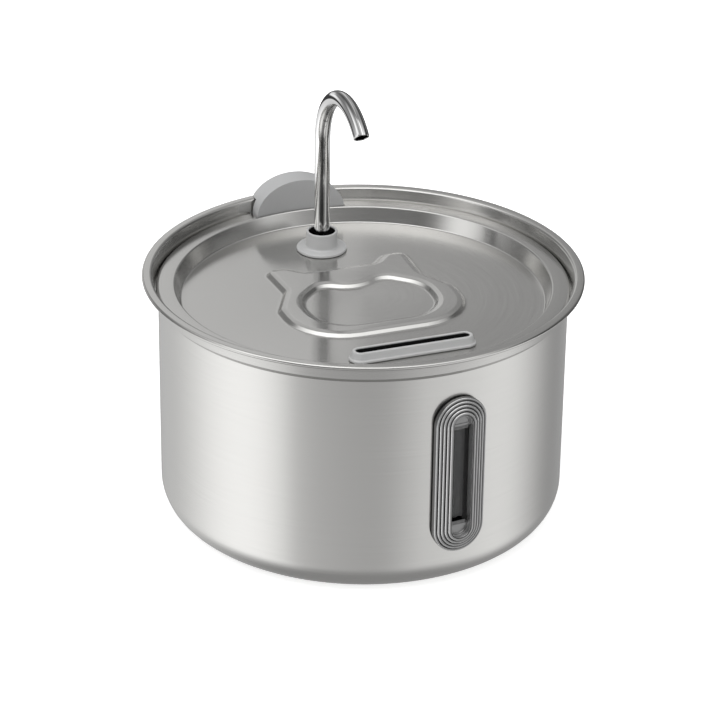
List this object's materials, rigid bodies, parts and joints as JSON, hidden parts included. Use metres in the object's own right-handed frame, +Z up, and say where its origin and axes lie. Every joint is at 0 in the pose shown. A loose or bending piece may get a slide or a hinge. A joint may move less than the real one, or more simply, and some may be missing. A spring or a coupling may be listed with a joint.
{
  "type": "pet water fountain",
  "caption": "Round steel pet water fountain: bowl with level window, dished lid, bent spout, drain slot over a filter, and a submersible pump.",
  "frame": {"origin": "middle of the bowl's flat bottom, on the table", "axes": "+Z up; -Y is the front, where the spout pours and the window is; +X is the right seen from the front"},
  "size_m": [0.22, 0.22, 0.211],
  "materials": {
    "bowl_steel": "finely brushed stainless steel, turned marks around the axis",
    "polished_steel": "mirror-polished stainless tube",
    "screw_steel": "bright machine screws",
    "grey_plastic": "mid-grey moulded plastic, fine matt grain",
    "frosted_plastic": "light grey slightly translucent moulded plastic",
    "clear_window": "clear moulded window pane",
    "dark_rubber": "matt black rubber",
    "clamp_plastic": "dark grey moulded plastic",
    "holder_plastic": "pale clear-grey moulded plastic",
    "filter_plastic": "white moulded plastic",
    "felt": "white pressed filter felt",
    "carbon": "black activated carbon grains",
    "resin_beads": "amber ion-exchange beads",
    "pump_plastic": "black moulded plastic",
    "core_steel": "stacked steel laminations",
    "coil_copper": "enamelled copper windings",
    "circuit_board": "green solder-masked board",
    "ceramic": "polished white ceramic",
    "ferrite": "dark grey ferrite",
    "impeller_plastic": "white moulded plastic",
    "hose_silicone": "milky silicone",
    "foam": "black open-cell foam",
    "dial_plastic": "grey moulded plastic",
    "cup_rubber": "dark translucent suction rubber"
  },
  "bodies": {
    "bowl": {"bowl": "bowl_steel", "window_bezel": "grey_plastic", "window_outer_gasket": "dark_rubber", "window_lens": "clear_window", "window_inner_gasket": "dark_rubber", "window_clamp_frame": "clamp_plastic", "window_screws": "screw_steel"},
    "cord_guide": {"cord_guide": "grey_plastic"},
    "lid": {"lid": "bowl_steel"},
    "collar": {"spout_collar": "frosted_plastic"},
    "spout_seal": {"spout_seal": "dark_rubber"},
    "spout": {"spout_tube": "polished_steel", "spout_stop_ring": "polished_steel"},
    "drain_surround": {"drain_surround": "frosted_plastic"},
    "filter_holder": {"filter_holder": "holder_plastic"},
    "filter": {"filter_frame": "filter_plastic", "filter_top_felt": "felt", "filter_carbon": "carbon", "filter_resin": "resin_beads", "filter_bottom_felt": "felt"},
    "pump": {"pump_housing": "pump_plastic", "chamber_cover": "pump_plastic", "chamber_o_ring": "dark_rubber", "stator_core": "core_steel", "stator_coils": "coil_copper", "pump_circuit_board": "circuit_board", "pump_back_plate": "pump_plastic", "pump_cord_gland": "dark_rubber", "rotor_shaft": "ceramic", "front_shaft_boot": "dark_rubber", "rear_shaft_boot": "dark_rubber", "suction_cups": "cup_rubber"},
    "hose": {"outlet_hose": "hose_silicone"},
    "intake_cover": {"intake_cover": "pump_plastic", "intake_foam": "foam"},
    "flow_dial": {"flow_dial": "dial_plastic"},
    "rotor": {"rotor_magnet": "ferrite", "impeller": "impeller_plastic"}
  },
  "joints": [
    {"name": "lid_lift", "type": "slide", "parent": "bowl", "child": "lid", "axis": [0, 0, 1], "range_m": [0, 0.12]},
    {"name": "guide_lift", "type": "slide", "parent": "bowl", "child": "cord_guide", "axis": [0, 0, 1], "range_m": [0, 0.03]},
    {"name": "collar_lift", "type": "slide", "parent": "lid", "child": "collar", "axis": [0, 0, 1], "range_m": [0, 0.03]},
    {"name": "spout_lift", "type": "slide", "parent": "collar", "child": "spout_seal", "axis": [0, 0, 1], "range_m": [0, 0.07]},
    {"name": "spout_turn", "type": "hinge", "parent": "spout_seal", "child": "spout", "pos_m": [0, 0.0605, 0.12], "axis": [0, 0, 1], "continuous": true},
    {"name": "drain_surround_lift", "type": "slide", "parent": "lid", "child": "drain_surround", "axis": [0, 0, 1], "range_m": [0, 0.02]},
    {"name": "filter_holder_drop", "type": "slide", "parent": "lid", "child": "filter_holder", "axis": [0, 0, -1], "range_m": [0, 0.06]},
    {"name": "filter_slide", "type": "slide", "parent": "filter_holder", "child": "filter", "axis": [0, 1, 0], "range_m": [0, 0.05]},
    {"name": "pump_release", "type": "slide", "parent": "bowl", "child": "pump", "axis": [0, 0, 1], "range_m": [0, 0.01]},
    {"name": "hose_lift", "type": "slide", "parent": "pump", "child": "hose", "axis": [0, 0, 1], "range_m": [0, 0.012]},
    {"name": "intake_cover_slide", "type": "slide", "parent": "pump", "child": "intake_cover", "axis": [0, -1, 0], "range_m": [0, 0.025]},
    {"name": "flow_dial_turn", "type": "hinge", "parent": "intake_cover", "child": "flow_dial", "pos_m": [0, 0.04, 0.023], "axis": [0, -1, 0], "range_deg": [0, 90]},
    {"name": "rotor_spin", "type": "hinge", "parent": "pump", "child": "rotor", "pos_m": [0, 0.067, 0.023], "axis": [0, 1, 0], "continuous": true}
  ]
}
